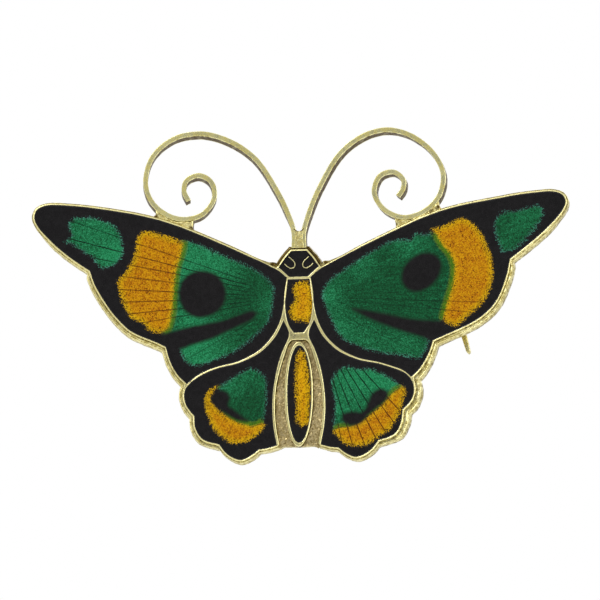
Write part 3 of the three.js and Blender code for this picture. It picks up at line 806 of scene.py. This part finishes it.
def tray_piece(rim_outlines, foot_outline, ground_outline):
    skin = Skin()
    fronts, floors = [], []
    under = RIM_FRONT + CELL_DEPTH + 0.05
    for outline in rim_outlines:
        # The rim's rounding gets a painted highlight, and the rounding's last row, on the side, painted
        # shade.
        rows = [
            skin.row(outline.moved(i * RIM_CROWN), RIM_FRONT + d, 0.5 if k == 3 else -0.3)
            for k, (i, d) in enumerate(rounded_edge(RIM_ROUND))
        ]
        outermost = outline.area() > 0 and np.abs(outline.points[:, 0]).max() > WING_REACH
        # Painted shade on the walls below the rounding: 0.4 on the rim's outside, up to 0.9 round the head,
        # 0.8 on the cells' walls and at the foot.
        wall_shade = 0.4 + 0.5 * round_head(outline.points) if outermost else 0.8
        rows += [skin.row(outline.points, RIM_FRONT + d, wall_shade) for d in (0.16, 0.4)]
        rows.append(skin.row(outline.points, under, 0.8))
        skin.band(rows)
        fronts.append(rows[0])
        floors.append(rows[-1])
    # A painted highlight on the rim's flat front.
    skin.fill(fronts, RIM_FRONT, 0.16, patina_and_painted_light=-0.12)
    skin.fill(floors, under, back=True)
    add_flange(skin, foot_outline)
    add_ground(skin, ground_outline)
    mesh, _ = skin.mesh("wing_tray")
    roughened(mesh, 0.035, 2.4, lambda place: RIM_FRONT + 0.1 < place[1] < TRAY_BACK - 0.02)
    roughened(mesh, 0.006, 1.2, lambda place: place[1] <= RIM_FRONT + 0.1)
    tray = piece("tray", mesh, "brooch", gilt, "gilt", "wing_tray")
    mesh.materials.append(gilt_ground)
    mesh.materials.append(gilt_back)
    for polygon in mesh.polygons:
        centre = polygon.center / MM
        on_ground = abs(centre.x) < GROUND_HALF and GROUND_HEIGHTS[0] < centre.z < GROUND_HEIGHTS[1]
        if polygon.normal.y > 0.7 and centre.y > TRAY_BACK - 0.1:
            polygon.material_index = 2
        elif on_ground and RIM_FRONT + 0.25 < centre.y < RIM_FRONT + 0.6 and polygon.normal.y < -0.4:
            polygon.material_index = 1
    return tray


def add_flange(skin, foot_outline):
    """The spread outer wall with the groove beside the rim, and the tray's back."""
    points = foot_outline.points
    scallops = along_scallops(points)
    broad = np.exp(-((points - BROAD_PLACE) ** 2).sum(1) / BROAD_REACH**2)
    head = round_head(points)
    # Darker round the head, and painted shade that grows towards the flange's right side.
    darker_by_head_and_right = 0.9 * head + 0.14 * np.clip((points[:, 0] - 6) / 6, 0, 1)
    outside = END_TRIM * (1 - scallops) - BROAD * broad - HEAD_WEB * head
    width = FLARE_ENDS + (FLARE_SIDE - FLARE_ENDS) * scallops + RIM_TRIM - outside
    tail = (np.abs(points[:, 0]) < 2.2) & (points[:, 1] < -14) & (points[:, 1] > -15.6)
    rows = []
    profile = [  # share of the width, inset, depth and patina with painted light (painted shade in the groove beside the rim, outside the crown and down the outer wall, a painted highlight on the flange's crown), from the rim to the back
        (1.0, 0.42, 0.95, 0.6), (1.0, 0.4, 0.24, 0.3), (1.0, 0.1, 0.22, 0.3), (1.0, -0.03, 0.2, 0.35),
        (0.86, 0, 0.17, 0.15), (0.72, 0, 0.17, 0.1), (0.56, 0, 0.2, 0.14), (0.44, 0, 0.24, 0.35),
        (0.37, 0, 0.2, -0.2), (0.31, 0, 0.19, -0.5), (0.24, 0, 0.24, -0.2), (0.16, 0, 0.44, 0.1),
        (0.08, 0, 0.64, 0.2), (0.0, 0, 0.86, 0.25), (0.0, 0, 1.1, 0.4), (0.0, 0, 1.3, 0.6),
        (0.0, 0.02, 1.42, 0.6), (0.0, 0.09, 1.5, 0.3),
    ]
    for share, inset, depth, patina_and_painted_light in profile:
        level = np.where(tail, max(depth, GROUND_DEPTH), depth)
        place = foot_outline.moved(outside + width * share + inset)
        rows.append(skin.row(place, RIM_FRONT + level, patina_and_painted_light + darker_by_head_and_right))
    skin.band(rows)
    skin.fill(rows[:1], RIM_FRONT + 0.95)
    skin.fill(rows[-1:], TRAY_BACK, 0.5, back=True)


def add_ground(skin, outline):
    """The stippled ground round the abdomen."""
    top, bottom = RIM_FRONT + GROUND_DEPTH, RIM_FRONT + CELL_DEPTH + 0.08
    # Painted shade on the pocket's wall, more towards its foot.
    rows = [skin.row(outline.points, top, 0.3), skin.row(outline.points, bottom, 0.5)]
    skin.band(rows)
    flat = outline.points
    inner = grid_inside([flat], 0.085, 0.05)
    heights = np.array([
        STIPPLE * (noise.noise(Vector((x, 0, z)) * 3.4) + 0.7 * noise.noise(Vector((x, 5, z)) * 7.1))
        for x, z in inner
    ])
    # Painted shade in the grain's low points and a painted highlight on its high points.
    grid = skin.row(inner, top + heights, 0.1 - 2.5 * heights)
    points = np.concatenate([flat, inner])
    numbers = np.concatenate([rows[0], grid])
    count = len(flat)
    edges = [(i, (i + 1) % count) for i in range(count)]
    _, _, triangles, sources, _, _ = delaunay_2d_cdt([Vector(p) for p in points], edges, [], 0, 1e-5)
    corners = np.array([[points[sources[i][0]] for i in triangle] for triangle in triangles])
    wanted = around(corners.mean(1), [flat]) > 0
    for triangle, corner, keep in zip(triangles, corners, wanted):
        if keep:
            face = [numbers[sources[i][0]] for i in triangle]
            left_turn = cross(corner[1] - corner[0], corner[2] - corner[0]) > 0
            skin.faces.append(face if left_turn else face[::-1])
    skin.fill(rows[-1:], bottom, back=True)


def ring_like(outlines, node):
    """Of the outlines, the one whose box is most like the CAD node's."""
    low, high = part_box(node)
    wanted = np.array([low.x, low.z, high.x, high.z]) / MM
    boxes = [np.concatenate([o.points.min(0), o.points.max(0)]) for o in outlines]
    return outlines[int(np.argmin([np.abs(box - wanted).sum() for box in boxes]))]


def wings():
    rims = []
    for outline in face_outlines("wing_tray"):
        if np.abs(outline.points[:, 0]).max() > WING_REACH and outline.area() > 0:
            trim = RIM_TRIM + HEAD_TRIM * round_head(outline.points)
        elif np.abs(outline.points[:, 0]).max() < 2 and outline.points[:, 1].mean() < -6:
            trim = RING_TRIM
            if outline.area() < 0:
                trim += RING_HOLE[1]
                outline.points[:, 0] += RING_HOLE[0]
        else:
            trim = CELL_TRIM
        rims.append(Outline(outline.moved(trim), outline.corners))
    foot = back_outline("wing_tray")
    floors = face_outlines("wing_tray", RIM_FRONT + CELL_DEPTH)
    below = [o for o in floors if abs(o.points[:, 0].mean()) < 1 and o.points[:, 1].mean() < -5]
    tray_piece(rims, foot, max(below, key=lambda o: o.area()))
    holes = [o.reversed() for o in rims if o.area() < 0]
    cells = [
        ("enamel_forewing_left", FOREWING_LEFT, "enamel_green", PAINT_GRID),
        ("enamel_forewing_right", FOREWING_RIGHT, "enamel_green", PAINT_GRID),
        ("enamel_hindwing_left", HINDWING_LEFT, "enamel_green", 0.18),
        ("enamel_hindwing_right", HINDWING_RIGHT, "enamel_green", 0.18),
        ("enamel_head", {}, "enamel_black", 0.2),
        ("enamel_thorax", THORAX, "enamel_amber", 0.13),
        ("enamel_abdomen", ABDOMEN, "enamel_amber", 0.13),
    ]
    for name, patches, slot, spacing in cells:
        enamel_piece(name, ring_like(holes, name), patches, slot, spacing)


# ---- The wires, the solder and the fittings ----


def box_depths(node):
    low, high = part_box(node)
    return low.y / MM, high.y / MM


def wires():
    for side in ("right", "left"):
        name = f"antenna_{side}"
        front, back = box_depths(name)
        outlines = [Outline(o.moved(0.02), o.corners) for o in face_outlines(name)]
        # Painted shade: the wires' sides get the full dark value and their rounded edges more of it.
        mesh, places = plate(outlines, front, back, 0.045, side=1.0, edge=0.45).mesh(name)
        behind = (places[:, 1] - front) * np.clip((places[:, 2] - LEAN_FROM) / LEAN_FADE, 0, 1)
        places[:, [0, 2]] += behind[:, None] * LEAN[side]
        mesh.vertices.foreach_set("co", (places * MM).astype(np.float32).ravel())
        roughened(mesh, 0.01, 2.0)
        piece(name, mesh, "brooch", gilt_wire, "gilt", name)
        name = f"eye_wire_{side}"
        front, back = box_depths(name)
        outlines = [Outline(o.moved(0.028), o.corners) for o in face_outlines(name, corner=60)]
        # A painted highlight on the eye wires' faces and some painted shade on their sides.
        mesh, _ = plate(outlines, front, back, 0.03, spacing=None, side=0.4, face=-0.3).mesh(name)
        piece(name, mesh, "brooch", gilt, "gilt_polished", name)


def darkened(mesh, places, pits):
    """Adds patina in pits, each a place and a reach."""
    patina_and_painted_light = np.zeros(len(places))
    mesh.attributes["patina_and_painted_light"].data.foreach_get("value", patina_and_painted_light)
    for x, z, reach in pits:
        patina_and_painted_light += 0.9 * np.exp(-((places[:, [0, 2]] - (x, z)) ** 2).sum(1) / reach**2)
    mesh.attributes["patina_and_painted_light"].data.foreach_set("value", patina_and_painted_light)


def solder():
    for name in ("solder_seat_right", "solder_seat_left"):
        front, back = box_depths(name)
        outlines = [Outline(o.moved(-0.05), o.corners) for o in face_outlines(name, corner=50)]
        mesh, places = plate(outlines, front - 0.03, back, 0.14, side=0.8, spacing=0.1, face=0.1).mesh(name)
        darkened(mesh, places, SEAT_PITS)
        roughened(mesh, 0.07, 2.6)
        piece(name, mesh, "brooch", gilt_solder, "solder", name)
    name = "antenna_stem_solder"
    front, back = box_depths("antenna_right")
    outlines = [Outline(o.points * (STEM_SPREAD, 1), o.corners) for o in face_outlines(name, corner=50)]
    for outline in outlines:
        points = outline.points
        hollow = 0.35 * np.clip(1 - (points[:, 0] / 0.5) ** 2, -0.3, 1)
        points[:, 1] -= np.where(points[:, 1] > 9, hollow, 0)
    mesh, places = plate(outlines, front - 0.03, back, 0.05, side=0.8, spacing=0.1, face=-0.1).mesh(name)
    fork = [(x, 9.05 + 0.8 * x * x, 0.16) for x in (-0.5, -0.35, -0.2, 0.0, 0.2, 0.35, 0.5)]
    darkened(mesh, places, fork)
    roughened(mesh, 0.05, 2.2)
    piece(name, mesh, "brooch", gilt_solder, "solder", name)
    for name in ("hinge_patch", "catch_patch"):
        front, back = box_depths(name)
        mesh, _ = plate(face_outlines(name), front, back, 0.03, 0.3, side=0.25, face=0.2).mesh(name)
        roughened(mesh, 0.035, 1.6)
        piece(name, mesh, "brooch", gilt_solder, "solder", name)


def refined(node, body, slot, bevel, material=None):
    """A fitting: the CAD node's shape with its edges rounded and its round faces smooth."""
    made = bmesh.new()
    made.from_mesh(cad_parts[node].data)
    bmesh.ops.remove_doubles(made, verts=made.verts, dist=1e-7)
    bmesh.ops.dissolve_limit(made, angle_limit=math.radians(1), verts=made.verts, edges=made.edges)
    edges = [e for e in made.edges if e.is_manifold and e.calc_face_angle() > math.radians(32)]
    bmesh.ops.bevel(
        made, geom=edges, offset=bevel * MM, segments=3, profile=0.5, affect="EDGES", clamp_overlap=True
    )
    mesh = bpy.data.meshes.new(node)
    made.to_mesh(mesh)
    made.free()
    values(mesh, "patina_and_painted_light", np.zeros(len(mesh.vertices)))
    piece(node, mesh, body, material or gilt_polished, slot, node)


def fittings():
    refined("hinge_bracket", "brooch", "gilt", 0.08)
    refined("hinge_rivet", "brooch", "gilt_polished", 0.03)
    refined("pin_stem", "pin", "gilt_polished", 0.06)
    refined("catch_housing", "brooch", "gilt", 0.05)
    refined("catch_roller", "roller", "gilt_polished", 0.04)
    refined("catch_lever", "roller", "gilt_polished", 0.08, gilt)


# ---- The studio ----

VIEW_AZIMUTH = 8.0  # degrees to the right of the wings' normal
VIEW_BELOW = 12.0  # and below it
VIEW_DISTANCE = 1.0
VIEW_TARGET = Vector((0.00018, -0.00413, 0.00109))
LENS = 541.2
FLOOR_Z = -0.3
FLOOR_HALF = 3
CARD_DIRECTION = (-0.136, -0.969, 0.208)  # from the brooch towards the grey card


def studio():
    azimuth, below = math.radians(VIEW_AZIMUTH), math.radians(VIEW_BELOW)
    level = math.cos(below)
    towards = Vector((math.sin(azimuth) * level, -math.cos(azimuth) * level, -math.sin(below)))
    camera = bpy.data.objects.new("camera", bpy.data.cameras.new("camera"))
    camera.data.lens = LENS
    camera.data.sensor_width = 36
    camera.location = VIEW_TARGET + towards * VIEW_DISTANCE
    camera.rotation_euler = (-towards).to_track_quat("-Z", "Y").to_euler()
    bpy.context.scene.collection.objects.link(camera)
    bpy.context.scene.camera = camera
    bpy.context.scene.view_settings.view_transform = "Standard"

    softbox("key", (-0.45, -0.35, 0.65), 0.5, 4.0)
    softbox("fill", (0.6, -0.4, 0.1), 0.5, 1.8)
    softbox("back", (0.1, 0.6, 0.5), 0.6, 1.4)
    surroundings()

    mesh = bpy.data.meshes.new("floor")
    half = FLOOR_HALF
    corners = [(x, y, FLOOR_Z) for x, y in ((-half, -half), (half, -half), (half, half), (-half, half))]
    mesh.from_pydata(corners, [], [(0, 1, 2, 3)])
    shader = Shader("floor", Roughness=0.6)
    cloud = shader.noise(shader.place(), 0.01)
    shader.set("Base Color", shader.mix(cloud, (0.86, 0.86, 0.85, 1), (0.9, 0.9, 0.89, 1)))
    mesh.materials.append(shader.material)
    floor = bpy.data.objects.new("floor", mesh)
    bpy.context.scene.collection.objects.link(floor)


def softbox(name, place, size, watts):
    light = bpy.data.lights.new(name, "AREA")
    light.size = size
    light.energy = watts
    thing = bpy.data.objects.new(name, light)
    thing.location = place
    thing.rotation_euler = (VIEW_TARGET - Vector(place)).to_track_quat("-Z", "Y").to_euler()
    bpy.context.scene.collection.objects.link(thing)


def surroundings():
    """A white room with a grey card in front of the brooch, so that the enamel's gloss stays dark."""
    world = bpy.data.worlds.new("studio")
    bpy.context.scene.world = world
    world.use_nodes = True
    tree = world.node_tree
    background = tree.nodes["Background"]
    direction = tree.nodes.new("ShaderNodeTexCoord").outputs["Generated"]
    towards_card = tree.nodes.new("ShaderNodeVectorMath")
    towards_card.operation = "DOT_PRODUCT"
    tree.links.new(direction, towards_card.inputs[0])
    towards_card.inputs[1].default_value = CARD_DIRECTION
    room = tree.nodes.new("ShaderNodeMapRange")
    room.interpolation_type = "SMOOTHSTEP"
    tree.links.new(towards_card.outputs["Value"], room.inputs["Value"])
    for name, value in (("From Min", 0.8), ("From Max", 0.965), ("To Min", 0.92), ("To Max", 0.2)):
        room.inputs[name].default_value = value
    seen = tree.nodes.new("ShaderNodeLightPath").outputs["Is Camera Ray"]
    strength = tree.nodes.new("ShaderNodeMix")
    tree.links.new(seen, strength.inputs[0])
    tree.links.new(room.outputs["Result"], strength.inputs[2])
    strength.inputs[3].default_value = 1.0
    tree.links.new(strength.outputs[0], background.inputs["Strength"])
    background.inputs["Color"].default_value = (1, 1, 1, 1)


wings()
wires()
solder()
fittings()
studio()
